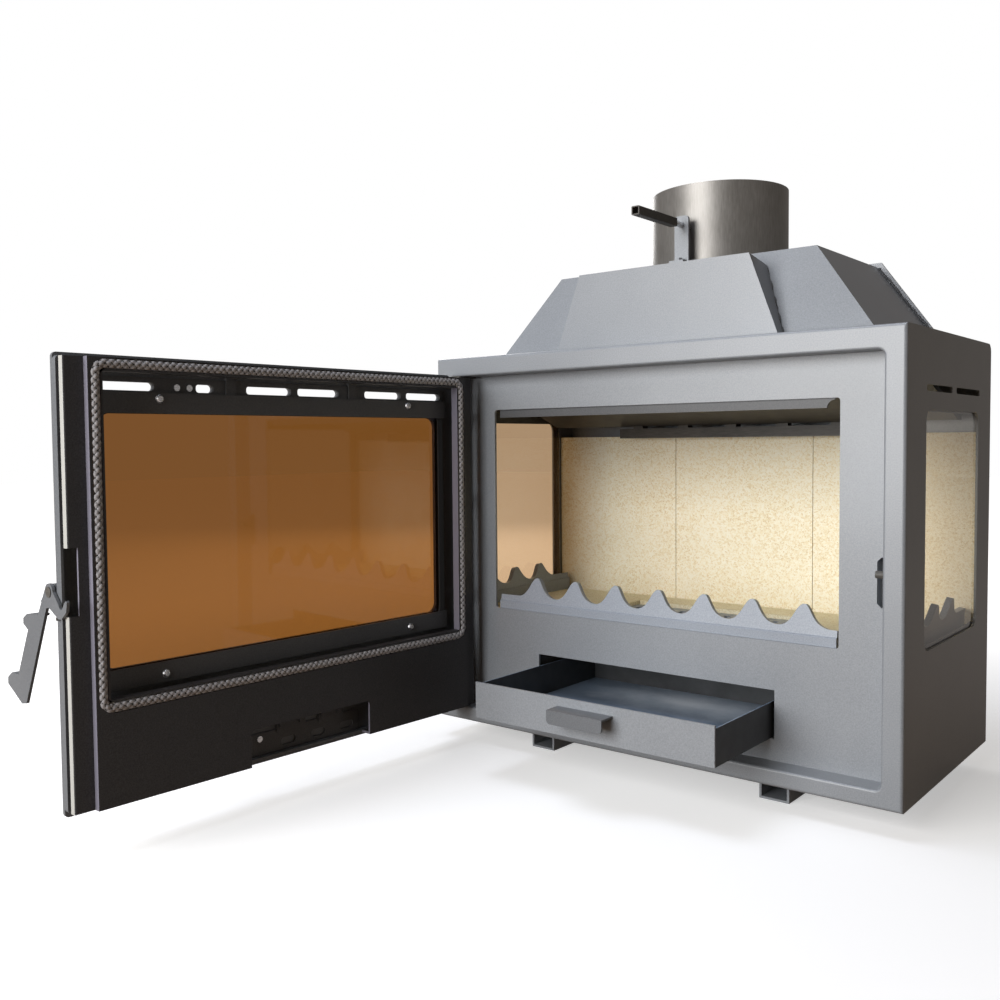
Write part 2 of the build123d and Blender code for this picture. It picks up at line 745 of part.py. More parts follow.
def ash_drawer():
    half = drawer_width / 2
    tray_front = drawer_front_y + drawer_front_sheet
    tray_rear = drawer_front_y + drawer_length
    wall_top = drawer_bottom + drawer_wall_height
    tray = block((-half, half), (tray_front, tray_rear), (drawer_bottom, wall_top))
    tray -= block((-half + drawer_sheet, half - drawer_sheet), (tray_front + drawer_sheet, tray_rear - drawer_sheet),
                  (drawer_bottom + drawer_sheet, wall_top + 1))
    save("drawer_tray", tray)
    front = block((-half, half), (drawer_front_y, tray_front), (drawer_bottom, drawer_bottom + drawer_height))
    save("drawer_front", front)
    pull_top = drawer_bottom + drawer_height - pull_below_rim
    pull_half = pull_width / 2
    reach = drawer_front_y - pull_reach
    leaf = block((-pull_half, pull_half), (reach, drawer_front_y), (pull_top - pull_sheet, pull_top))
    flap = outline((-pull_half, pull_top - pull_drop), (pull_half, pull_top - pull_drop), (pull_half, pull_top),
                   (-pull_half, pull_top))
    flap = fillet(flap.vertices().group_by(Axis.Y)[0], pull_radius)
    save("drawer_pull", leaf + panel(flap, reach, reach + pull_sheet))


# ---- door ---------------------------------------------------------------------------------------
def door_fascia():
    beside_hinge = -half_width + frame_side + hinge_plate_width + hinge_notch
    body = rounded((door_left, door_bottom), (door_right, door_top), fascia_corner)
    lap = rounded((beside_hinge, door_bottom - fascia_lap_bottom), (door_right, door_top + fascia_lap_top), fascia_corner)
    shell = panel(body, -fascia_lap_gap, return_y)
    for face in (body, lap):
        plate = panel(face, face_y, -fascia_lap_gap)
        shell += fillet(plate.edges().group_by(Axis.Y)[0], fascia_radius)
    shell -= block((door_left + door_sheet, door_right - door_sheet), (fascia_back, return_y + 1),
                   (door_bottom + door_sheet, door_top - door_sheet))
    cuts = rounded((-glass_width / 2, glass_bottom), (glass_width / 2, glass_top), glass_radius)
    for x in air_slots:
        cuts += Pos(x, air_slot_bottom + air_slot_height / 2) * SlotOverall(air_slot_length, air_slot_height)
    for x in low_slots:
        cuts += Pos(x, low_slot_bottom + low_slot_height / 2) * SlotOverall(low_slot_length, low_slot_height)
    knob_run = low_travel + 2 * (knob_stem_radius + running_gap) + 1
    cuts += Pos(low_knob_x + low_travel / 2, low_knob_z) * SlotOverall(knob_run, 2 * knob_stem_radius + 1)
    shell -= panel(cuts, face_y - 1, fascia_back + 1)
    boss_heights = ((door_bottom, door_bottom + hinge_boss_length), (door_top - hinge_boss_length, door_top))
    for low, high in boss_heights:
        shell += rod_upright(hinge_x, hinge_y, hinge_boss_radius, low, high)
        shell -= rod_upright(hinge_x, hinge_y, hinge_pin_radius + running_gap, low - 1, high + 1)
    place_door("door_fascia", shell)


def door_inner_frame():
    window_left, window_right = rope_left + channel_width / 2 + channel_wall, rope_right - channel_width / 2 - channel_wall
    window_low, window_high = rope_bottom + channel_width / 2 + channel_wall, rope_top - channel_width / 2 - channel_wall
    body = block((door_left, door_right), (lip_y, flange_y), (pan_bottom, pan_top))
    body = fillet(body.edges().group_by(Axis.Y)[-1].filter_by(Axis.Z), door_sheet - 0.5)
    body -= block((door_left + door_sheet, door_right - door_sheet), (lip_y - 1, flange_y - door_sheet),
                  (pan_bottom + door_sheet, pan_top - door_sheet))
    body += block((step_left, step_right), (flange_y - door_sheet, plateau_y), (pan_bottom, pan_top))
    low_wall = rope_bottom - channel_width / 2 - channel_wall
    body -= block((step_left + door_sheet, step_right - door_sheet), (flange_y - door_sheet - 1, plateau_y - skirt_sheet),
                  (pan_bottom + door_sheet, low_wall))
    groove_low, groove_high = rope_bottom - channel_width / 2, rope_top + channel_width / 2
    groove = rounded((step_left + door_sheet, groove_low), (step_right - door_sheet, groove_high),
                     rope_corner + channel_width / 2)
    groove -= rounded((window_left - channel_wall, window_low - channel_wall),
                      (window_right + channel_wall, window_high + channel_wall), rope_corner - channel_width / 2)
    body -= panel(groove, flange_y, plateau_y + 1)
    body -= block((window_left, window_right), (lip_y - 1, plateau_y + 1), (window_low, window_high))
    notch = rounded((notch_left, pan_bottom - 2 * notch_radius), (notch_right, notch_top), notch_radius)
    body -= panel(notch, lip_y - 1, plateau_y + 1)
    body -= block((door_right - pin_cut_depth, door_right + 1), (lip_y - 1, flange_y + 1), (pin_cut_bottom, pin_cut_top))
    for z in post_heights:
        for x in (door_left + post_inset, door_right - post_inset):
            body += rod_y(x, z, post_radius, fascia_back, flange_y - door_sheet)
    place_door("door_inner_frame", body)


def rope_gasket():
    corners = Pos((rope_left + rope_right) / 2, (rope_bottom + rope_top) / 2) * RectangleRounded(
        rope_right - rope_left, rope_top - rope_bottom, rope_corner)
    plane = Plane(origin=(0, rope_y, 0), x_dir=(1, 0, 0), z_dir=(0, -1, 0))
    path = (plane * corners).faces()[0].outer_wire()
    section = Plane(origin=path @ 0, z_dir=path % 0) * Circle(rope_radius)
    place_door("door_rope_gasket", sweep(section, path))


def door_glazing():
    low = (-glass_width / 2 - glass_lap, glass_bottom - glass_lap)
    high = (glass_width / 2 + glass_lap, glass_top + glass_lap)
    pane = rounded(low, high, pane_radius)
    place_door("door_glass", panel(pane, fascia_back, glass_back))
    ring = pane - rounded((low[0] + gasket_width, low[1] + gasket_width), (high[0] - gasket_width, high[1] - gasket_width),
                          pane_radius)
    place_door("glass_gasket", panel(ring, glass_back, retainer_front))
    rows = (("glass_retainer_bottom", glass_bottom - retainer_width, glass_bottom - retainer_screw_inset),
            ("glass_retainer_top", glass_top, glass_top + retainer_width - 7))
    screws = []
    rear = retainer_front + retainer_sheet
    for name, z_low, screw_z in rows:
        strip = block((-retainer_length / 2, retainer_length / 2), (retainer_front, rear), (z_low, z_low + retainer_width))
        for x in (retainer_screw_shift - retainer_screw_x, retainer_screw_shift + retainer_screw_x):
            strip -= rod_y(x, screw_z, screw_radius, retainer_front - 1, rear + 1)
            shank = rod_y(x, screw_z, screw_radius, fascia_back, rear)
            screws.append(shank + rod_y(x, screw_z, screw_head_radius, rear, rear + screw_head_height))
        place_door(name, strip)
    place_door("glass_retainer_screws", *screws)


# ---- hinge, lever and keeper --------------------------------------------------------------------
def hinge_pins():
    left = -half_width + frame_side
    low, high = frame_bottom, casing_height - frame_top
    pieces = []
    for plate_low, pin_low, pin_high in ((low, low, door_bottom + hinge_boss_length - 2),
                                         (high - hinge_plate, door_top - hinge_boss_length + 2, high)):
        plate = block((left, left + hinge_plate_width), (-hinge_plate_front, recess_depth),
                      (plate_low, plate_low + hinge_plate))
        front_edges = plate.edges().filter_by(Axis.Z).group_by(Axis.Y)[0]
        plate = fillet(front_edges, hinge_plate_front - 1) & frame_opening(-2 * hinge_plate_front, recess_depth)
        pieces.append(plate + rod_upright(hinge_x, hinge_y, hinge_pin_radius, pin_low, pin_high))
    save("hinge_pins", *pieces)


def keeper_pin():
    right = half_width - frame_side
    save("keeper_pin", rod_x(keeper_y, keeper_z, keeper_radius, right - keeper_length, right))


def handle_lug():
    lug = side_wall(Pos(lever_y, lever_height) * Circle(lug_radius), door_right - lug_thickness, door_right)
    lug -= block((door_right - lug_thickness - 1, door_right + 1), (face_y, face_y + 2 * lug_radius),
                 (lever_height - 2 * lug_radius, lever_height + 2 * lug_radius))
    lug += block((door_right - lug_thickness, door_right), (lever_y, face_y),
                 (lever_height - lug_radius, lever_height + lug_radius))
    lug -= rod_x(lever_y, lever_height, lever_pin_radius, door_right - lug_thickness - 1, door_right + 1)
    place_door("handle_lug", lug)
    outer = lever_x + lever_thickness
    pin = rod_x(lever_y, lever_height, lever_pin_radius, door_right - lug_thickness, outer + slide_gap)
    pin += rod_x(lever_y, lever_height, lever_pin_radius + 2, outer + slide_gap, outer + lever_gap)
    pin += rod_x(lever_y, lever_height, lever_pin_radius + 2, door_right, lever_x - slide_gap)
    place_door("handle_pivot_pin", pin)


def lever_outline():
    """The lever seen from its outer side, latched: Y inwards, Z up, pivot at the origin."""
    trough = Pos(keeper_reach, keeper_rise) * Circle(keeper_radius + keeper_gap)
    k, r = keeper_reach, keeper_rise
    neck = outline((-3, 8), (11, 4), (k - 4, r - 3), (k, r - 2), (k + 5.1, r + 0.4), (k + 5.8, r + 6),
                   (k + 7.8, r + 10.2), (k + 11, r + 10), (k + 14, r - 0.6), (k + 7.6, r - 14), (k + 1.2, -15.5),
                   (7.5, -16), (2, -20), (-13, -20))
    length = lever_length
    arm = outline((-lever_eye_radius, 0), (0, 0), (2, -18), (2, -length + 7), (-7.5, -length), (-48.5, -length),
                  (-51.5, -length + 7), (-45, -length + 18), (-lever_arm, -length + 26), (-lever_arm + 1, -68),
                  (-41, -68), (-44, -62), (-37.5, -52.5), (-16, -39.5), (-13, -38.5))
    eye = Circle(lever_eye_radius)
    return neck + arm + eye - trough


def handle_lever():
    plate = lever_outline() - Circle(lever_pin_radius + running_gap)
    solid = extrude(Plane.YZ.offset(lever_x) * (Pos(lever_y, lever_height) * plate), amount=lever_thickness)
    for outer, inner in (((-37.5, -52.5), (-16, -39.5)), ((-45, -lever_length + 18), (-lever_arm, -lever_length + 26))):
        ear = outline(outer, inner, (inner[0], inner[1] - lever_thickness), (outer[0], outer[1] - lever_thickness))
        solid += side_wall(Pos(lever_y, lever_height) * ear, lever_x - lever_ear, lever_x + lever_thickness)
    axis = Axis((0, lever_y, lever_height), (1, 0, 0))
    place_door("handle_lever", solid.rotate(axis, -lever_angle))
    turn = math.radians(lever_angle)
    stop = (stop_place, -15.0 - stop_radius - slide_gap - 1)
    y = lever_y + stop[0] * math.cos(turn) + stop[1] * math.sin(turn)
    z = lever_height - stop[0] * math.sin(turn) + stop[1] * math.cos(turn)
    place_door("handle_stop", rod_x(y, z, stop_radius, door_right, door_right + stop_length))


# ---- air sliders --------------------------------------------------------------------------------
def upper_slider():
    middle = slider_bottom + slider_height / 2
    reach = air_slot_length / 2 + slider_end
    left, right = air_slots[0] - reach, air_slots[-1] + reach
    strip = Pos((left + right) / 2, middle) * Rectangle(right - left, slider_height)
    for index, x in enumerate(air_slots):
        low, high = x - air_slot_length / 2, x + air_slot_length / 2
        if index == knob_slot_index:
            high = knob_x - tab_half
        strip -= rounded((low, middle - air_slot_height / 2), (high, middle + air_slot_height / 2), 4)
    stems = (knob_x - knob_stem_spacing / 2, knob_x + knob_stem_spacing / 2)
    for x in stems:
        strip -= Pos(x, middle) * Circle(knob_stem_radius)
    rear = slider_y + slider_sheet
    place_door("upper_air_slider", panel(strip, slider_y, rear))
    stand = face_y - knob_stand
    bar = Pos(knob_x, stand, middle) * Rot(0, 90, 0) * Cylinder(knob_radius, knob_length)
    for x in stems:
        bar += rod_y(x, middle, knob_stem_radius, stand, rear)
        bar += rod_y(x, middle, knob_stem_radius + 1.5, rear, rear + 1.5)
    place_door("upper_slider_knob", bar)


def lower_slider():
    bottom = door_bottom + door_sheet + slider_gap
    strip = rounded((low_slider_left, bottom), (low_slider_right, low_slider_top), 4)
    for x in low_slots:
        strip -= Pos(x - low_travel, low_slot_bottom + low_slot_height / 2) * SlotOverall(low_slot_length, low_slot_height)
    strip -= Pos(low_knob_x, low_knob_z) * Circle(knob_stem_radius)
    rear = slider_y + slider_sheet
    place_door("lower_air_slider", panel(strip, slider_y, rear))
    stand = face_y - knob_stand
    knob = rod_y(low_knob_x, low_knob_z, 8, stand - 6, stand + 6)
    knob += rod_y(low_knob_x, low_knob_z, knob_stem_radius, stand, rear)
    knob += rod_y(low_knob_x, low_knob_z, knob_stem_radius + 1.5, rear, rear + 1.5)
    place_door("lower_slider_knob", knob)


def slider_guides():
    rear = slider_y + slider_sheet + slider_gap
    top = slider_bottom + slider_height
    pieces = []
    for x in ((air_slot_pairs[0] + air_slot_pairs[1]) / 2, (air_slot_pairs[1] + air_slot_pairs[2]) / 2):
        strap = block((x - strap_width / 2, x + strap_width / 2), (fascia_back, rear + strap_sheet),
                      (slider_bottom - strap_foot, top + strap_foot))
        strap -= block((x - strap_width, x + strap_width), (fascia_back - 1, rear), (slider_bottom - slider_gap, top + slider_gap))
        pieces.append(strap)
    for low, high in low_strap_spans:
        foot_low = low_slider_top + slider_gap
        strap = block((low, high), (fascia_back, rear + strap_sheet), (foot_low, foot_low + low_strap_height))
        strap += block((low, high), (rear, rear + strap_sheet), (foot_low - strap_foot, foot_low))
        for x in (low + low_strap_screw_inset, high - low_strap_screw_inset):
            strap += rod_y(x, foot_low + low_strap_height / 2, screw_head_radius, rear + strap_sheet,
                           rear + strap_sheet + screw_head_height)
        pieces.append(strap)
    place_door("slider_guides", *pieces)


front_frame()
front_plate()
side_panels()
top_and_back()
foot_rails()
side_windows()
hood()
hood_front_box()
flue_collar()
damper()
damper_bracket()
firebox_floor()
hearth()
fire_grate()
back_bricks()
log_guards()
baffle()
air_wash_deflector()
ash_bay()
ash_drawer()
door_fascia()
door_inner_frame()
rope_gasket()
door_glazing()
hinge_pins()
keeper_pin()
handle_lug()
handle_lever()
upper_slider()
lower_slider()
slider_guides()
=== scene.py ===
# %% [markdown]
# # A steel fireplace insert
#
# The rigid metalwork comes ready-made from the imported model: casing, door, drawer, damper. This file
# gives every sheet, casting, brick and pane its surface, and adds the small things that are better
# worked out as surfaces here: the braided door rope, weld beads and screw heads.

# %% Load the frame and note its size
import json
import math

import bpy
import numpy as np
from mathutils import Matrix, Vector


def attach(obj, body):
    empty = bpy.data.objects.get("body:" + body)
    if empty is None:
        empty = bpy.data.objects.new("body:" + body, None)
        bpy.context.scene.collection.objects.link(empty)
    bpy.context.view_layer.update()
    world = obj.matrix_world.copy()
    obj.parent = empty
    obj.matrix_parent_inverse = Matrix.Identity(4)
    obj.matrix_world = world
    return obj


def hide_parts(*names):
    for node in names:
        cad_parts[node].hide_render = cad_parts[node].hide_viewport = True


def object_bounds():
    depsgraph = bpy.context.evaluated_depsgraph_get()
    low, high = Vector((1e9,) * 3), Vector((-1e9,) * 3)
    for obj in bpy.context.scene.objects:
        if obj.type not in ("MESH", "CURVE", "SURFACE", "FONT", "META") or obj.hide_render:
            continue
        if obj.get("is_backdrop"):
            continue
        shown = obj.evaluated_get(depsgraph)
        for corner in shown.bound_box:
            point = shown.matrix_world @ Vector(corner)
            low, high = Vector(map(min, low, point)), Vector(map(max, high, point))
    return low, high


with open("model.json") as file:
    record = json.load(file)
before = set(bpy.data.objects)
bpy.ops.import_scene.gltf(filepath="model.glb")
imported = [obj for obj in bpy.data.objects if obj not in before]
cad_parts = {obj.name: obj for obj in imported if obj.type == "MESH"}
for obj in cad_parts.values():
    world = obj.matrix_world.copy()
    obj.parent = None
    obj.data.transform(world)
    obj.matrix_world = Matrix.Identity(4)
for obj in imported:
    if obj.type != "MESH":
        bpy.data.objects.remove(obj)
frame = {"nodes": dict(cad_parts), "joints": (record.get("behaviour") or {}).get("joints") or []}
cad_low, cad_high = [list(corner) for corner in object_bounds()]
print("CAD box", [round(high - low, 4) for low, high in zip(cad_low, cad_high)])

# %% [markdown]
# ## Colours and nodes
#
# Blender's shaders work in linear light, but a colour read off a paint chip or a photograph is sRGB. One
# function turns a hex value into linear light. A second adds a shader node with its settings, its ramp
# colours and its links, so that each material below reads as a short recipe. A third turns the real size
# of a grain into the scale of a pattern.

# %% Colours and a node helper
def linear(hex_colour):
    """sRGB hex to linear RGBA: each channel is c/12.92 when dark and ((c+0.055)/1.055)^2.4 above that."""
    srgb = [int(hex_colour[i:i + 2], 16) / 255 for i in (1, 3, 5)]
    return [c / 12.92 if c <= 0.04045 else ((c + 0.055) / 1.055) ** 2.4 for c in srgb] + [1.0]


def add(tree, kind, settings=None, stops=(), **inputs):
    """Adds a shader node. Settings are its properties, stops are a colour ramp's (position, hex colour)
    pairs, and inputs are values or (node, output) links. An input called in0, in1 ... goes by its number."""
    node = tree.nodes.new("ShaderNode" + kind)
    for name, value in (settings or {}).items():
        setattr(node, name, value)
    if stops:
        elements = node.color_ramp.elements
        while len(elements) < len(stops):
            elements.new(0.5)
        for element, (position, colour) in zip(elements, stops):
            element.position = position
            element.color = linear(colour)
    for name, value in inputs.items():
        key = name.replace("_", " ")
        by_number = key.startswith("in") and key[2:].isdigit()
        socket = node.inputs[int(key[2:]) if by_number else key]
        if isinstance(value, tuple) and hasattr(value[0], "outputs"):
            tree.links.new(value[0].outputs[value[1]], socket)
        else:
            socket.default_value = value
    return node


def start(name):
    """An empty material and its node tree."""
    material = bpy.data.materials.new(name)
    material.use_nodes = True
    material.node_tree.nodes.clear()
    return material, material.node_tree


def per_metre(size_mm):
    """The scale of a pattern whose grains are size_mm across, when coordinates are in metres."""
    return 1000.0 / size_mm


print("a mid grey in linear light", [round(channel, 3) for channel in linear("#808080")])

# %% [markdown]
# ## Stove paint
#
# The casing is coated with high-temperature silicone paint, sprayed thick over sheet steel. It is a matt
# mid grey with the tooth of fine sandpaper, so highlights are broad and soft. The real grit is about
# 0.4 mm, too fine to see from where the camera stands, so it is drawn about 1.6 mm across. A slow, faint
# cloudiness stands for the spray's uneven coats. One recipe serves four shades: the casing's grey; a darker
# copy of it, painted shade, on the door's outside, the handle and the drawer pull; the anthracite inside the
# door, which is painted shade on the air-wash deflector; and the blue-grey of the castings, whose skin keeps
# the roughness of the sand mould.

# %% Stove paint
GRIT_MM, GRIT_HEIGHT = 1.6, 0.0003
CLOUD_MM = 140


def stove_paint(name, dark, light, rough, shine, tooth=0.25):
    """Sprayed silicone stove paint: two close shades in a fine grain, with the grain as bump too."""
    material, tree = start(name)
    where = add(tree, "TexCoord")
    grain = add(tree, "TexNoise", Vector=(where, "Object"), Scale=per_metre(GRIT_MM), Detail=3.0,
                Roughness=0.6)
    cloud = add(tree, "TexNoise", Vector=(where, "Object"), Scale=per_metre(CLOUD_MM), Detail=2.0)
    both = add(tree, "Math", {"operation": "MULTIPLY_ADD"}, in0=(cloud, "Fac"), in1=0.35, in2=(grain, "Fac"))
    colour = add(tree, "ValToRGB", stops=((0.42, dark), (0.92, light)), Fac=(both, 0))
    relief = add(tree, "Bump", Strength=tooth, Distance=GRIT_HEIGHT, Height=(grain, "Fac"))
    gloss = add(tree, "MapRange", Value=(grain, "Fac"), To_Min=rough - 0.06, To_Max=rough + 0.08)
    paint = add(tree, "BsdfPrincipled", Base_Color=(colour, "Color"), Roughness=(gloss, "Result"),
                Specular_IOR_Level=shine, Normal=(relief, "Normal"))
    add(tree, "OutputMaterial", Surface=(paint, "BSDF"))
    return material


casing_paint = stove_paint("silicone_stove_paint_grey", "#777b80", "#8d9196", rough=0.36, shine=0.6)
# A darker copy of the casing grey: painted shade on the door's outside, the handle and the drawer pull.
shaded_fascia_paint = stove_paint("silicone_stove_paint_shaded_grey", "#55585c", "#6a6d71", rough=0.4, shine=0.5)
# The anthracite is painted shade where it stands on the air-wash deflector.
anthracite_and_shade_paint = stove_paint("silicone_stove_paint_anthracite_and_shade", "#424345", "#57585a", rough=0.4, shine=0.35,
                         tooth=0.2)
casting_paint = stove_paint("painted_cast_iron", "#7c828b", "#979ea8", rough=0.42, shine=0.5, tooth=0.6)
print("paints", [paint.name for paint in (casing_paint, shaded_fascia_paint, anthracite_and_shade_paint, casting_paint)])

# %% [markdown]
# ## The inner pan's painted light
#
# The pan inside the door is drawn in anthracite. Its fold beside the rope faces the front, towards the lamp,
# and it is painted paler there as painted light; the outermost edge carries a painted highlight in pale
# grey. A separate piece for each edge would be one more thing to keep in place, so the material finds those
# narrow faces by their direction instead, and the outermost one by its distance from the hinge.

# %% The inner pan's painted light
RIM_Y = -0.626  # metres; only the outermost fold of the open door lies beyond it
FACING_FREE_EDGE = -0.8  # the Y part of the normal on faces that look away from the hinge


def rimmed_paint(name, face_dark, face_light, fold, edge):
    """Paint on faces, painted light on folds facing -Y, and a painted highlight beyond the rim's Y."""
    material, tree = start(name)
    where = add(tree, "TexCoord")
    grain = add(tree, "TexNoise", Vector=(where, "Object"), Scale=per_metre(GRIT_MM), Detail=3.0,
                Roughness=0.6)
    facing = add(tree, "SeparateXYZ", Vector=(where, "Normal"))
    place = add(tree, "SeparateXYZ", Vector=(where, "Object"))
    # Faces whose normal points along -Y look towards the front lamp; their paler colour is painted light.
    lit_fold_mask = add(tree, "Math", {"operation": "LESS_THAN"}, in0=(facing, "Y"), in1=FACING_FREE_EDGE)
    highlight_edge_mask = add(tree, "Math", {"operation": "LESS_THAN"}, in0=(place, "Y"), in1=RIM_Y)
    face = add(tree, "ValToRGB", stops=((0.35, face_dark), (0.7, face_light)), Fac=(grain, "Fac"))
    pale = add(tree, "ValToRGB", stops=((0.0, fold), (1.0, edge)), Fac=(highlight_edge_mask, 0))
    colour = add(tree, "Mix", {"data_type": "RGBA"}, in0=(lit_fold_mask, 0), in6=(face, "Color"),
                 in7=(pale, "Color"))
    relief = add(tree, "Bump", Strength=0.2, Distance=GRIT_HEIGHT, Height=(grain, "Fac"))
    paint = add(tree, "BsdfPrincipled", Base_Color=(colour, 2), Roughness=0.42, Specular_IOR_Level=0.3,
                Normal=(relief, "Normal"))
    add(tree, "OutputMaterial", Surface=(paint, "BSDF"))
    return material


# The lilac grey on the fold is painted light, and the pale grey on the outermost edge a painted highlight.
pan_paint = rimmed_paint("stove_paint_painted_light_rim", "#323234", "#444446", "#75737f", "#a8a8a4")
print("paint with a rim", pan_paint.name)

# %% [markdown]
# ## Bare and coated steel
#
# The sheets inside are mild steel under a skin of oil and mill scale, so they are dark and dull, and the
# grain of rolling shows as soft streaks. The flue collar is rolled the same way and has a thin satin coat
# that lets the metal through, so about two thirds of its look is a metal's. Screws, knobs and the damper's
# rod are bright drawn steel: a metal's colour is the tint of its reflection. One recipe makes all three,
# because only the shades, the streaks' direction and the share of metal differ.

# %% Bare and coated steel
STAIN_MM = 45


def rolled_steel(name, dark, light, rough, streaks, metal=1.0, shine=0.5):
    """Rolled steel: noise stretched along the rolling direction, in colour and in roughness. Streaks are how
    many lie side by side along a metre of X, Y and Z, so that 500 is one every 2 mm."""
    material, tree = start(name)
    where = add(tree, "TexCoord")
    along = add(tree, "Mapping", Vector=(where, "Object"), Scale=streaks)
    streak = add(tree, "TexNoise", Vector=(along, "Vector"), Scale=1.0, Detail=4.0, Roughness=0.6)
    stain = add(tree, "TexNoise", Vector=(where, "Object"), Scale=per_metre(STAIN_MM), Detail=3.0)
    mixed = add(tree, "Math", {"operation": "MULTIPLY_ADD"}, in0=(stain, "Fac"), in1=0.5, in2=(streak, "Fac"))
    colour = add(tree, "ValToRGB", stops=((0.5, dark), (1.0, light)), Fac=(mixed, 0))
    gloss = add(tree, "MapRange", Value=(streak, "Fac"), To_Min=rough - 0.05, To_Max=rough + 0.08)
    steel = add(tree, "BsdfPrincipled", Base_Color=(colour, "Color"), Roughness=(gloss, "Result"),
                Metallic=metal, Specular_IOR_Level=shine)
    add(tree, "OutputMaterial", Surface=(steel, "BSDF"))
    return material


collar_coat = rolled_steel("satin_coated_steel_collar", "#716e69", "#878480", 0.42, (500, 500, 60),
                           metal=0.65, shine=1.0)
dark_steel = rolled_steel("rolled_mild_steel_oiled", "#3c3a37", "#5b5853", 0.45, (60, 600, 600),
                          metal=0.0, shine=0.3)
bright_steel = rolled_steel("drawn_bright_steel", "#bcbcbe", "#ededef", 0.26, (900, 60, 900))
print("steels", [steel.name for steel in (collar_coat, dark_steel, bright_steel)])

# %% [markdown]
# ## The ash tray's sheet
#
# The tray is folded from sheet, and its folded walls are dull and dark. Its floor was rolled flat and smooth,
# and where it faces up to the light above the drawer it is painted pale blue as painted light, with a painted
# glare that is brightest in the middle and darkens outwards. One material serves both: it reads how far the
# surface faces upwards, which is the third part of the normal.

# %% The ash tray's sheet
# The painted glare on the tray's floor: the size of the cloud that breaks it up and varies the walls, and
# where the glare's middle sits.
TRAY_CLOUD_MM = 60
GLARE_SHIFT, GLARE_SPREAD = (-0.06, -0.96, 0.0), (4.0, 8.0, 0.0)  # centres the bright patch 0.12 m inside


def tray_sheet(name):
    """Where the surface faces up, smooth sheet painted pale blue as painted light; dull dark sheet where it
    stands upright. The painted glare darkens with the distance from its middle, broken up by noise."""
    material, tree = start(name)
    where = add(tree, "TexCoord")
    facing = add(tree, "SeparateXYZ", Vector=(where, "Normal"))
    flat = add(tree, "Math", {"operation": "GREATER_THAN"}, in0=(facing, "Z"), in1=0.7)
    cloud = add(tree, "TexNoise", Vector=(where, "Object"), Scale=per_metre(TRAY_CLOUD_MM), Detail=4.0,
                Roughness=0.6)
    centre = add(tree, "Mapping", Vector=(where, "Object"), Location=GLARE_SHIFT, Scale=GLARE_SPREAD)
    away = add(tree, "VectorMath", {"operation": "LENGTH"}, in0=(centre, "Vector"))
    glare_fade = add(tree, "Math", {"operation": "MULTIPLY_ADD"}, in0=(cloud, "Fac"), in1=0.5, in2=(away, "Value"))
    # The pale blue and the bright middle of the floor are painted light: a painted glare.
    floor_painted_glare = add(tree, "ValToRGB", stops=((0.3, "#eaf3ff"), (0.6, "#b9c7d9"), (0.9, "#8494a8")),
                     Fac=(glare_fade, 0))
    wall_grey = add(tree, "ValToRGB", stops=((0.35, "#3a3c3e"), (0.7, "#4c4e50")), Fac=(cloud, "Fac"))
    colour = add(tree, "Mix", {"data_type": "RGBA"}, in0=(flat, 0), in6=(wall_grey, "Color"),
                 in7=(floor_painted_glare, "Color"))
    gloss = add(tree, "MapRange", Value=(flat, 0), To_Min=0.5, To_Max=0.24)
    bare = add(tree, "MapRange", Value=(flat, 0), To_Min=0.0, To_Max=0.1)
    sheet = add(tree, "BsdfPrincipled", Base_Color=(colour, 2), Roughness=(gloss, "Result"),
                Metallic=(bare, "Result"), Specular_IOR_Level=0.4)
    add(tree, "OutputMaterial", Surface=(sheet, "BSDF"))
    return material


tray_glare_sheet = tray_sheet("coated_tray_sheet")
print("tray sheet", tray_glare_sheet.name)

# %% [markdown]
# ## Vermiculite and firebrick
#
# The back wall is pressed vermiculite board: golden flakes of expanded mica, 1 to 4 mm across, bound with
# cement. The hearth is cast firebrick, a little darker and smoother, with a finer grain. Both are dry, so
# they scatter light and hardly shine. Voronoi cells give flakes that lie edge to edge, which plain noise
# would not.

# %% Vermiculite and firebrick
PATCH_MM, FLAKE_HEIGHT = 90, 0.0012


def pressed_board(name, gap, body, flake, grain_mm, rough, depth):
    """Pressed grains: cells of one shade each, with finer noise and slow patches, as colour and as relief."""
    material, tree = start(name)
    where = add(tree, "TexCoord")
    cells = add(tree, "TexVoronoi", Vector=(where, "Object"), Scale=per_metre(grain_mm), Randomness=1.0)
    tint = add(tree, "SeparateColor", Color=(cells, "Color"))
    fine = add(tree, "TexNoise", Vector=(where, "Object"), Scale=per_metre(grain_mm * 0.6), Detail=4.0)
    patch = add(tree, "TexNoise", Vector=(where, "Object"), Scale=per_metre(PATCH_MM), Detail=3.0)
    mixed = add(tree, "Math", {"operation": "MULTIPLY_ADD"}, in0=(tint, "Red"), in1=0.45, in2=(fine, "Fac"))
    drift = add(tree, "Math", {"operation": "MULTIPLY_ADD"}, in0=(patch, "Fac"), in1=0.3, in2=(mixed, 0))
    colour = add(tree, "ValToRGB", stops=((0.45, gap), (0.72, body), (1.15, flake)), Fac=(drift, 0))
    relief = add(tree, "Bump", Strength=depth, Distance=FLAKE_HEIGHT, Height=(drift, 0))
    board = add(tree, "BsdfPrincipled", Base_Color=(colour, "Color"), Roughness=rough,
                Specular_IOR_Level=0.2, Normal=(relief, "Normal"))
    add(tree, "OutputMaterial", Surface=(board, "BSDF"))
    return material


vermiculite = pressed_board("pressed_vermiculite_board", "#d6bb88", "#f6e8c4", "#fff8e2", grain_mm=2.2,
                            rough=0.85, depth=0.4)
firebrick = pressed_board("cast_firebrick", "#cdb98d", "#e8dbb6", "#f5edd0", grain_mm=1.8,
                          rough=0.9, depth=0.3)
print("boards", vermiculite.name, firebrick.name)

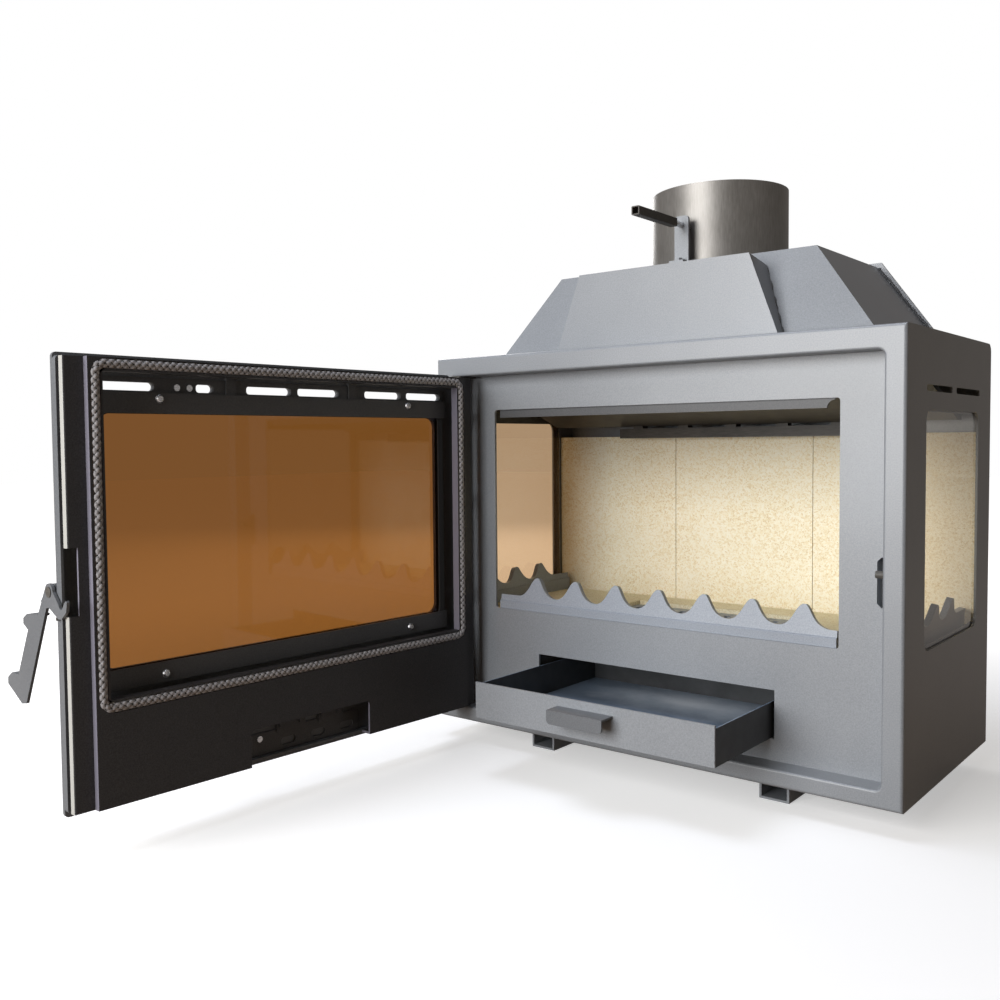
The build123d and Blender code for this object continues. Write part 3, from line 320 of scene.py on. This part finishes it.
# %% [markdown]
# ## Ceramic glass
#
# Stove windows are glass ceramic, which is clear with an amber cast. A flat pane barely bends light, so it
# is a thin mix and not a solid of glass: mostly see-through, with a mirror share that grows towards grazing
# angles. The mirror is only on the side that light meets first, because the way out through the other face
# would otherwise act as a second mirror.

# %% Ceramic glass
GLASS_IOR = 1.54


def ceramic_glass(name, tint, haze):
    """A thin pane: tinted transparency, with a sharp reflection by the Fresnel share on the outer side."""
    material, tree = start(name)
    side = add(tree, "NewGeometry")
    edge = add(tree, "Fresnel", IOR=GLASS_IOR)
    met = add(tree, "Math", {"operation": "SUBTRACT"}, in0=1.0, in1=(side, "Backfacing"))
    share = add(tree, "Math", {"operation": "MULTIPLY"}, in0=(edge, "Fac"), in1=(met, 0))
    clear = add(tree, "BsdfTransparent", Color=linear(tint))
    mirror = add(tree, "BsdfGlossy", Color=linear("#f4f6f8"), Roughness=haze)
    pane = add(tree, "MixShader", in0=(share, 0), in1=(clear, "BSDF"), in2=(mirror, "BSDF"))
    add(tree, "OutputMaterial", Surface=(pane, "Shader"))
    return material


# The door pane's amber is partly the glass's own cast and partly painted shade: it is deepened to the brown
# of the dim surroundings seen through it.
door_pane = ceramic_glass("glass_ceramic_amber", "#b08e62", 0.04)
side_pane = ceramic_glass("glass_ceramic_clear", "#fdf9f2", 0.03)
# The left pane is the same clear glass as the right one; its pale amber is painted shade.
left_pane = ceramic_glass("glass_ceramic_pale_amber", "#d3c1ab", 0.03)
print("panes", [pane.name for pane in (door_pane, side_pane, left_pane)])

# %% [markdown]
# ## Braided glass-fibre rope
#
# The rope and the flat seal are glass fibre, dyed black. The strands are matt with a slight sheen. Their
# crowns are painted grey as a painted highlight and the hollows between them nearly black as painted shade,
# so the colour follows an attribute that the mesh carries. Broken filaments stand up as a fuzz finer than
# the strands, and a noise of 1.3 mm stands for them.

# %% Rope material
FUZZ_MM, FUZZ_HEIGHT = 1.3, 0.0004


def fibre_rope(name, hollow_shade, crown_highlight):
    """Dyed glass fibre: painted shade where the braid attribute is low, a grey painted highlight on crowns.
    """
    material, tree = start(name)
    height = add(tree, "Attribute", {"attribute_name": "braid"})
    where = add(tree, "TexCoord")
    fuzz = add(tree, "TexNoise", Vector=(where, "Object"), Scale=per_metre(FUZZ_MM), Detail=3.0)
    mixed = add(tree, "Math", {"operation": "MULTIPLY_ADD"}, in0=(fuzz, "Fac"), in1=0.9, in2=(height, "Fac"))
    colour = add(tree, "ValToRGB", stops=((0.78, hollow_shade), (1.0, crown_highlight)), Fac=(mixed, 0))
    relief = add(tree, "Bump", Strength=0.5, Distance=FUZZ_HEIGHT, Height=(fuzz, "Fac"))
    fibre = add(tree, "BsdfPrincipled", Base_Color=(colour, "Color"), Roughness=0.7, Sheen_Weight=0.2,
                Normal=(relief, "Normal"))
    add(tree, "OutputMaterial", Surface=(fibre, "BSDF"))
    return material


# The near-black is painted shade in the hollows, and the grey a painted highlight on the crowns.
rope_fibre = fibre_rope("braided_glass_fibre", "#0a0a0b", "#a5a4a7")
print("rope material", rope_fibre.name)

# %% [markdown]
# ## Finishes on the ready-made parts
#
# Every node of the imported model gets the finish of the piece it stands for. A table from finish to names is
# shorter than a line for each node, and it shows at a glance which pieces share a coat.

# %% Finish every node
finishes = {
    casing_paint: ("front_frame front_plate side_panel_left side_panel_right back_panel top_panel "
                   "bottom_panel foot_rail_left foot_rail_right hood_shell hood_front_box "
                   "hood_back_plate damper_bracket drawer_front damper_bracket_bolt"),
    # The door's outside, the handle and the drawer pull take the darker grey as painted shade.
    shaded_fascia_paint: "door_fascia handle_lug handle_lever drawer_pull",
    pan_paint: "door_inner_frame",
    # The air-wash deflector takes the anthracite as painted shade, for the shade under the mouth's top.
    anthracite_and_shade_paint: ("glass_retainer_top glass_retainer_bottom slider_guides upper_air_slider "
                 "lower_air_slider air_wash_deflector"),
    collar_coat: "flue_collar",
    dark_steel: ("side_glass_retainers firebox_floor ash_bay baffle_plate baffle_ledge baffle_brackets "
                 "hinge_pins handle_pivot_pin handle_stop damper_disc damper_sleeve keeper_pin"),
    bright_steel: ("glass_retainer_screws side_retainer_screws upper_slider_knob lower_slider_knob "
                   "damper_rod"),
    tray_glare_sheet: "drawer_tray",
    casting_paint: "log_guard_front log_guard_left log_guard_right fire_grate",
    vermiculite: "back_brick_left back_brick_centre back_brick_right",
    firebrick: "hearth_brick_left hearth_brick_right hearth_bricks_middle",
    rope_fibre: "glass_gasket",
    door_pane: "door_glass",
    side_pane: "side_glass_right",
    left_pane: "side_glass_left",
}
for finish, names in finishes.items():
    for name in names.split():
        mesh = frame["nodes"][name].data
        mesh.materials.clear()
        mesh.materials.append(finish)
finished = " ".join(finishes.values()).split()
print(len(finished), "nodes finished; without a finish:", set(frame["nodes"]) - set(finished))

# %% [markdown]
# ## The door's swing
#
# The door is shown open. A loop of rope or a row of screws is far easier to work out on the shut door, where
# it lies along X and Z, so the pieces added below are worked out there, and one function turns them about
# the hinge to the open pose. The same function, turned back, measures the door's ready-made pieces as shut.

# %% From the shut door to the open pose
door_hinge = next(joint for joint in frame["joints"] if joint["name"] == "door_hinge")
HINGE = np.array([door_hinge["pos_m"][0], door_hinge["pos_m"][1], 0.0])
OPEN = math.radians(door_hinge["range_deg"][0])
NEAREST = 4  # decimals of a metre, so measures are kept to 0.1 mm


def turned(points, angle):
    """Turns points about the upright hinge line: x' = x cos a - y sin a, y' = x sin a + y cos a."""
    x, y, z = (np.asarray(points, float) - HINGE).T
    c, s = math.cos(angle), math.sin(angle)
    return np.stack([x * c - y * s, x * s + y * c, z], axis=1) + HINGE


def shut_box(node):
    """The lowest and highest corners of a door node when the door is shut."""
    vertices = frame["nodes"][node].data.vertices
    points = np.empty(3 * len(vertices))
    vertices.foreach_get("co", points)
    points = turned(points.reshape(-1, 3), -OPEN)
    return points.min(axis=0), points.max(axis=0)


print("shut door", [corner.round(NEAREST) for corner in shut_box("door_fascia")])

# %% [markdown]
# ## Grids of points
#
# Each new piece is a grid of points that a formula gives, row by row. Its faces need no formula: every four
# neighbours make a quad, and a grid that closes on itself joins its last row or column to its first.

# %% Meshes from grids
def grid_faces(rows, columns, wrap_rows=False):
    """Quads of a grid of rows x columns points as an index array; the columns always close into a ring."""
    r = np.arange(rows if wrap_rows else rows - 1)
    r, c = [a.ravel() for a in np.meshgrid(r, np.arange(columns), indexing="ij")]
    r2, c2 = (r + 1) % rows, (c + 1) % columns
    return np.stack([r * columns + c, r * columns + c2, r2 * columns + c2, r2 * columns + c], axis=1)


def make_mesh(name, points, faces, material, smooth=True):
    """A mesh object from whole arrays of points and faces."""
    mesh = bpy.data.meshes.new(name)
    mesh.from_pydata(points.tolist(), [], faces.tolist())
    if smooth:
        mesh.shade_smooth()
    else:
        mesh.shade_flat()
    mesh.materials.append(material)
    piece = bpy.data.objects.new(name, mesh)
    bpy.context.scene.collection.objects.link(piece)
    return piece


print("a ring of 2 x 4 points has", len(grid_faces(2, 4)), "faces")

# %% [markdown]
# ## The door rope
#
# A braided rope lies in a channel round the door's inner face. It could be a tube with a painted pattern, but
# its strands catch the light one by one, so the braid is modelled: two families of strands wind opposite
# ways round a tube, and at each crossing one of them passes over the other. The tube is pressed a little
# flat, as the channel holds it. Its place is that of the plain solid which it replaces.

# %% The rope's centre line
low, high = shut_box("door_rope_gasket")
solid_radius = (high[1] - low[1]) / 2
ROPE_LEFT, ROPE_Y, ROPE_LOW = (low + solid_radius).round(NEAREST)
ROPE_RIGHT, ROPE_Y, ROPE_HIGH = (high - solid_radius).round(NEAREST)
ROPE_CORNER = 0.0105


def rounded_loop(left, right, low, high, corner, step):
    """Evenly spaced points round a rounded rectangle, with the outward direction in its plane at each:
    four quarter circles, whose ends the straight sides join, read off at equal lengths along the line."""
    centres = [(right - corner, high - corner), (left + corner, high - corner),
               (left + corner, low + corner), (right - corner, low + corner)]
    arc = np.linspace(0, math.pi / 2, 24)
    x = np.concatenate([cx + corner * np.cos(arc + i * math.pi / 2) for i, (cx, cz) in enumerate(centres)])
    z = np.concatenate([cz + corner * np.sin(arc + i * math.pi / 2) for i, (cx, cz) in enumerate(centres)])
    x, z = np.append(x, x[0]), np.append(z, z[0])
    run = np.concatenate([[0], np.cumsum(np.hypot(np.diff(x), np.diff(z)))])
    count = int(run[-1] / step)
    at = np.arange(count) * run[-1] / count
    x, z = np.interp(at, run, x), np.interp(at, run, z)
    dx, dz = np.roll(x, -1) - np.roll(x, 1), np.roll(z, -1) - np.roll(z, 1)
    length = np.hypot(dx, dz)
    return x, z, dz / length, -dx / length, at, run[-1]


print("rope loop", ROPE_LEFT, ROPE_RIGHT, ROPE_LOW, ROPE_HIGH, "at y", ROPE_Y)

# %% The braid
ROPE_RADIUS, ROPE_DEPTH = 0.0062, 0.0053  # across the channel and into it
BRAID_HEIGHT = 0.0018  # from the hollows to the crowns
STRANDS, LAY_LENGTH = 4, 0.034  # strands each way, and how far one runs while it goes round once
RING_STEP, RING_POINTS = 0.0011, 48


def braided_rope():
    """Radius = R - height + height x strand, where each strand is a half circle across its width and bows
    by a sine where it passes over, and the strand on top alternates like the squares of a chessboard."""
    x, z, out_x, out_z, at, total = rounded_loop(ROPE_LEFT, ROPE_RIGHT, ROPE_LOW, ROPE_HIGH, ROPE_CORNER,
                                                 RING_STEP)
    turns = round(total / LAY_LENGTH)
    V, U = np.meshgrid(np.arange(RING_POINTS) / RING_POINTS, at / total, indexing="xy")
    left = STRANDS * V + STRANDS * turns * U
    right = STRANDS * V - STRANDS * turns * U
    over = (np.floor(left) + np.floor(right)) % 2 == 0
    top, other = np.where(over, left, right) % 1, np.where(over, right, left) % 1
    profile = np.sqrt(np.clip(1 - (2 * top - 1) ** 2, 0, 1))
    bow = 0.55 + 0.45 * np.sin(math.pi * other)
    height = profile * bow
    radius = ROPE_RADIUS - BRAID_HEIGHT + BRAID_HEIGHT * height
    angle = 2 * math.pi * V
    points = np.empty((len(at), RING_POINTS, 3))
    points[..., 0] = x[:, None] + out_x[:, None] * radius * np.cos(angle)
    points[..., 1] = ROPE_Y + ROPE_DEPTH / ROPE_RADIUS * radius * np.sin(angle)
    points[..., 2] = z[:, None] + out_z[:, None] * radius * np.cos(angle)
    faces = grid_faces(len(at), RING_POINTS, wrap_rows=True)
    rope = make_mesh("door_rope", turned(points.reshape(-1, 3), OPEN), faces, rope_fibre)
    braid = rope.data.attributes.new("braid", "FLOAT", "POINT")
    braid.data.foreach_set("value", height.astype(np.float32).ravel())
    return rope


rope = braided_rope()
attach(rope, "door")
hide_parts("door_rope_gasket")
print("rope points", len(rope.data.vertices))

# %% [markdown]
# ## Button-head screws
#
# Four zinc-plated button-head screws hold the pane's two clamping strips. What shows is a low dome with a
# dark hexagonal socket. It could be cut from a sphere with a boolean, but a ring of points carried from the
# socket's floor up its six flat sides, over the dome and down to the strip gives clean faces.

# %% Button-head screws
HEAD_RADIUS, HEAD_HEIGHT = 0.0052, 0.0030
SOCKET, SOCKET_FLOOR = 0.42, 0.25  # half the socket's width and its floor's height, as shares of the head's
SOLID_HEAD_RADIUS = 0.0045  # of the plain heads that these replace


def button_heads(name, centres, radius, height, material):
    """A socket's edge at angle t is a / cos(t - nearest flat's middle); outside it the dome falls as a
    quarter cosine."""
    t = np.linspace(0, 2 * math.pi, 48, endpoint=False)
    flat = SOCKET * radius / np.cos((t % (math.pi / 3)) - math.pi / 6)
    rings = [(0 * t, SOCKET_FLOOR), (0.96 * flat, SOCKET_FLOOR), (flat, 0.92), (flat + 0.06 * radius, 1.0)]
    for share in np.linspace(0.25, 1.0, 6):
        rings.append((flat * (1 - share) + radius * share, math.cos(share * math.pi / 2) ** 0.7))
    rings.append((radius + 0 * t, -0.02))
    r = np.stack([ring for ring, lift in rings])
    lift = np.array([lift for ring, lift in rings])[:, None] + 0 * r
    shape = np.stack([r * np.cos(t), lift * height, r * np.sin(t)], axis=-1).reshape(-1, 3)
    faces = grid_faces(len(rings), len(t))[:, ::-1]
    points = np.concatenate([shape + np.array(centre) for centre in centres])
    faces = np.concatenate([faces + i * len(shape) for i in range(len(centres))])
    return make_mesh(name, turned(points, OPEN), faces, material, smooth=False)


low, high = shut_box("glass_retainer_screws")
left, _, bottom = (low + SOLID_HEAD_RADIUS).round(NEAREST)
right, _, top = (high - SOLID_HEAD_RADIUS).round(NEAREST)
strip_face = shut_box("glass_retainer_top")[1][1].round(NEAREST)
screws = button_heads("pane_strip_screws", [(x, strip_face, z) for x in (left, right) for z in (top, bottom)],
                      HEAD_RADIUS, HEAD_HEIGHT, bright_steel)
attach(screws, "door")
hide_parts("glass_retainer_screws")
print("screw heads", len(screws.data.polygons), "faces")

# %% [markdown]
# ## Weld beads
#
# The hood is welded by hand where its sheets meet at the back and beside the front box. The beads were not
# ground, and they take the anthracite, which is darker than the sheets' grey. A bead is a thin rope of
# overlapping ripples that wanders a little, so it is a tube along the seam whose radius swells with every
# ripple and whose centre strays by less than its width. A bump pattern could not break the hood's outline
# as the real beads do.

# %% Weld beads
BEAD_STEP, BEAD_POINTS = 0.0011, 10
WANDER_STEP, WANDER = 0.006, 0.3  # metres between chance offsets, and their spread as a share of the radius


def weld_bead(name, seams, radius, ripple, seed):
    """Radius = r (0.75 + 0.25 |sin(pi s / ripple)|), tapered at both ends; the centre strays by smoothed
    noise."""
    chance = np.random.default_rng(seed)
    points, faces, first = [], [], 0
    for start_point, end_point in seams:
        a, b = np.array(start_point, float), np.array(end_point, float)
        length = np.linalg.norm(b - a)
        rows = max(int(length / BEAD_STEP), 8)
        s = np.linspace(0, 1, rows)
        along = (b - a) / length
        side = np.cross(along, [0.0, -1.0, 0.0])
        side /= np.linalg.norm(side)
        up = np.cross(side, along)
        knots = np.linspace(0, 1, max(int(length / WANDER_STEP), 3))
        stray = [np.interp(s, knots, chance.normal(0, WANDER * radius, len(knots))) for _ in range(2)]
        swell = np.interp(s, knots, chance.uniform(0.75, 1.2, len(knots)))
        r = radius * swell * (0.75 + 0.25 * np.abs(np.sin(math.pi * s * length / ripple)))
        r = r * np.clip(np.minimum(s, 1 - s) * length / radius, 0.02, 1) ** 0.5
        centre = a + s[:, None] * (b - a) + stray[0][:, None] * side + stray[1][:, None] * up
        t = np.linspace(0, 2 * math.pi, BEAD_POINTS, endpoint=False)
        ring = np.cos(t)[None, :, None] * side + np.sin(t)[None, :, None] * up
        points.append((centre[:, None, :] + r[:, None, None] * ring).reshape(-1, 3))
        faces.append(grid_faces(rows, BEAD_POINTS)[:, ::-1] + first)
        first += rows * BEAD_POINTS
    bead = make_mesh(name, np.concatenate(points), np.concatenate(faces), anthracite_and_shade_paint)
    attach(bead, "casing")
    print(name, len(bead.data.polygons), "faces")


def both_sides(seam):
    """A seam on the right of the hood, and its mirror image on the left, which comes first."""
    return [tuple((side * x, y, z) for x, y, z in seam) for side in (-1, 1)]


# each seam runs from its foot on the casing's top to its upper end, in metres
BOX_SEAM = ((0.1735, 0.0855, 0.562), (0.1356, 0.1166, 0.661))
REAR_SEAM = ((0.2935, 0.3535, 0.562), (0.2035, 0.3535, 0.681))
weld_bead("hood_front_box_welds", both_sides(BOX_SEAM), radius=0.0018, ripple=0.0042, seed=3)
weld_bead("hood_rear_welds", both_sides(REAR_SEAM), radius=0.0021, ripple=0.0045, seed=5)

# %% [markdown]
# ## Floor and white surroundings
#
# The insert stands on a plain pale floor before white. A lamp strong enough to make the floor white would
# bleach the object too, so the white is given only to what looks at it: the camera, and rays through glass.
# Gloss sees a dimmer white, as the room behind the camera is dimmer than the backdrop. For all other rays
# the floor is a plain brown-grey and the world a faint warm glow. The floor stays matt near the object,
# where it keeps the shadow, and fades to plain white further out.

# %% Floor
MIRRORED = 0.22  # how much of the white shows in gloss
FLOOR_REACH, FLOOR_GAP = 12.0, 0.0002
FADE_FROM, FADE_TO, GLOW_NEAR = 0.5, 2.0, 0.45


def who_sees(tree):
    """1 for rays from the camera and through glass, a small share for gloss, and 0 for all other rays."""
    path = add(tree, "LightPath")
    seen = add(tree, "Math", {"operation": "MAXIMUM"}, in0=(path, "Is Camera Ray"),
               in1=(path, "Is Transmission Ray"))
    faint = add(tree, "Math", {"operation": "MULTIPLY"}, in0=(path, "Is Glossy Ray"), in1=MIRRORED)
    return add(tree, "Math", {"operation": "MAXIMUM"}, in0=(seen, 0), in1=(faint, 0))


def pale_floor():
    """A large square just under the feet, whose glow grows smoothly with the distance from the middle."""
    level = cad_low[2] - FLOOR_GAP
    corners = np.array([[x, y, level] for x, y in ((-1, -1), (1, -1), (1, 1), (-1, 1))])
    corners[:, :2] *= FLOOR_REACH
    material, tree = start("studio_floor")
    where = add(tree, "TexCoord")
    far = add(tree, "VectorMath", {"operation": "LENGTH"}, in0=(where, "Object"))
    lift = add(tree, "MapRange", {"interpolation_type": "SMOOTHSTEP"}, Value=(far, "Value"),
               From_Min=FADE_FROM, From_Max=FADE_TO, To_Min=GLOW_NEAR, To_Max=1.0)
    matt = add(tree, "BsdfDiffuse", Color=linear("#e2e2e2"))
    unseen = add(tree, "BsdfDiffuse", Color=linear("#86705a"))
    glow = add(tree, "Emission", Color=linear("#ffffff"), Strength=(lift, "Result"))
    both = add(tree, "AddShader", in0=(matt, "BSDF"), in1=(glow, "Emission"))
    mixed = add(tree, "MixShader", in0=(who_sees(tree), 0), in1=(unseen, "BSDF"), in2=(both, "Shader"))
    add(tree, "OutputMaterial", Surface=(mixed, "Shader"))
    floor = make_mesh("floor", corners, np.array([[0, 1, 2, 3]]), material, smooth=False)
    floor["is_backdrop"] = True
    print("floor at z", round(level, 4))


pale_floor()

# %% White surroundings
world = bpy.data.worlds.new("white_room")
bpy.context.scene.world = world
world.use_nodes = True
sky = world.node_tree
sky.nodes.clear()
soft = add(sky, "Background", Color=linear("#ffd9b0"), Strength=0.07)
white = add(sky, "Background", Color=linear("#ffffff"), Strength=1.0)
chosen = add(sky, "MixShader", in0=(who_sees(sky), 0), in1=(soft, "Background"), in2=(white, "Background"))
add(sky, "OutputWorld", Surface=(chosen, "Shader"))
print("world", world.name)

# %% [markdown]
# ## Lamps
#
# The light is a large soft one from the front, as through a wide open door behind the camera, with little
# from the sides, so that the casing's right side falls dark. A small cool one above lights the hood and the
# tray, and one behind on the left lifts the rear. Area lamps give the soft edges that a point lamp can't.

# %% Lamps
def soft_lamp(name, place, target, size, watts, colour="#ffffff"):
    """A square area lamp at place, facing target."""
    lamp = bpy.data.lights.new(name, "AREA")
    lamp.shape = "SQUARE"
    lamp.size, lamp.energy, lamp.color = size, watts, linear(colour)[:3]
    holder = bpy.data.objects.new(name, lamp)
    bpy.context.scene.collection.objects.link(holder)
    towards = np.array(target, float) - np.array(place, float)
    holder.visible_camera = False
    holder.location = place
    holder.rotation_euler = Vector(towards).to_track_quat("-Z", "Y").to_euler()
    print(name, watts, "W")


soft_lamp("front_light", (-0.5, -3.0, 1.05), (0.0, 0.0, 0.3), size=2.0, watts=130)
soft_lamp("top_light", (-0.6, -0.4, 2.5), (-0.1, 0.0, 0.1), size=1.1, watts=22, colour="#e6eeff")
soft_lamp("rear_light", (-2.5, 2.6, 2.0), (0.0, 0.25, 0.3), size=1.5, watts=45)

# %% [markdown]
# ## Camera
#
# The camera stands 1.2 m in front and to the right of the casing, at three quarters of its height, and looks
# a little down. Its place, its turn and its lens come from fitting about 25 corners of the object to where
# the photograph shows them, because a guess by eye leaves edges that run to the wrong vanishing points. A
# small shift holds the photograph's framing.

# %% The camera at the photograph's place
CAMERA_PLACE = (0.715, -1.1937, 0.429)
YAW, PITCH, ROLL = 40.105, -2.712, -0.57  # degrees
FRAME_PIXELS, FOCAL_PIXELS = 1000, 1020.4
AXIS_PIXEL = (468.8, 491.9)  # where the optical axis meets the photograph
SENSOR_MM = 36.0


def photo_camera():
    """Looks along (-sin yaw cos pitch, cos yaw cos pitch, sin pitch), rolled about that line. The focal
    length in pixels sets the lens, and the shift moves the optical axis off the frame's middle."""
    y, p, r = (math.radians(a) for a in (YAW, PITCH, ROLL))
    ahead = np.array([-math.sin(y) * math.cos(p), math.cos(y) * math.cos(p), math.sin(p)])
    right = np.array([math.cos(y), math.sin(y), 0.0])
    up = np.cross(right, ahead)
    right, up = math.cos(r) * right + math.sin(r) * up, math.cos(r) * up - math.sin(r) * right
    turn = np.eye(4)
    turn[:3, 0], turn[:3, 1], turn[:3, 2], turn[:3, 3] = right, up, -ahead, CAMERA_PLACE
    lens = bpy.data.cameras.new("camera")
    lens.sensor_width, lens.lens = SENSOR_MM, SENSOR_MM * FOCAL_PIXELS / FRAME_PIXELS
    lens.shift_x = (FRAME_PIXELS / 2 - AXIS_PIXEL[0]) / FRAME_PIXELS
    lens.shift_y = (AXIS_PIXEL[1] - FRAME_PIXELS / 2) / FRAME_PIXELS
    lens.clip_start, lens.clip_end = 0.05, 60.0
    camera = bpy.data.objects.new("camera", lens)
    bpy.context.scene.collection.objects.link(camera)
    camera.matrix_world = Matrix(turn.tolist())
    bpy.context.scene.camera = camera
    print("lens", round(lens.lens, 2), "mm, shift", round(lens.shift_x, 4), round(lens.shift_y, 4))


photo_camera()
bpy.context.scene.view_settings.view_transform = "Standard"

# %% [markdown]
# ## Sizes
#
# The last step prints the box of the finished model; the box of the ready-made one was printed at the start,
# so that the two can be compared: nothing added here may make the object larger.

# %% Print the finished size
low, high = [list(corner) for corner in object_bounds()]
print("visual box", [round(b - a, 4) for a, b in zip(low, high)])
